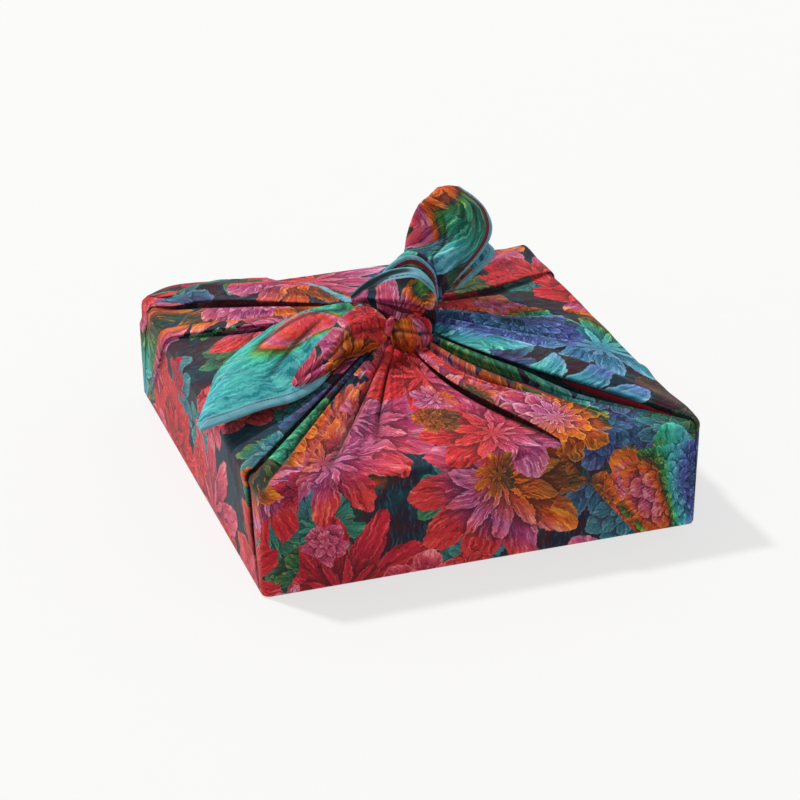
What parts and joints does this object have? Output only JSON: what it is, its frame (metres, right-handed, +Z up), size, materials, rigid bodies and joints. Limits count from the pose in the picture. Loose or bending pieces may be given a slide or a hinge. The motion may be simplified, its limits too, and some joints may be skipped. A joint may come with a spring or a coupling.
{
  "type": "furoshiki wrap on a gift box",
  "caption": "Square printed cloth folded round a flat gift box and tied on top in a square knot, with one tail lying forward and one standing up.",
  "frame": {"origin": "middle of the underside of the wrapped box, on the surface it stands on", "axes": "+X along the front face to the viewer's right, +Y from the front face to the back, +Z up through the knot"},
  "size_m": [0.2249, 0.2233, 0.1218],
  "materials": {
    "wrap_cloth": "soft printed cotton with a faint sheen, dark ground with red, pink, orange and teal flowers and a teal hem",
    "gift_box_card": "plain matt card"
  },
  "bodies": {
    "root": {"furoshiki_cloth": "wrap_cloth", "gift_box": "gift_box_card"}
  },
  "joints": []
}
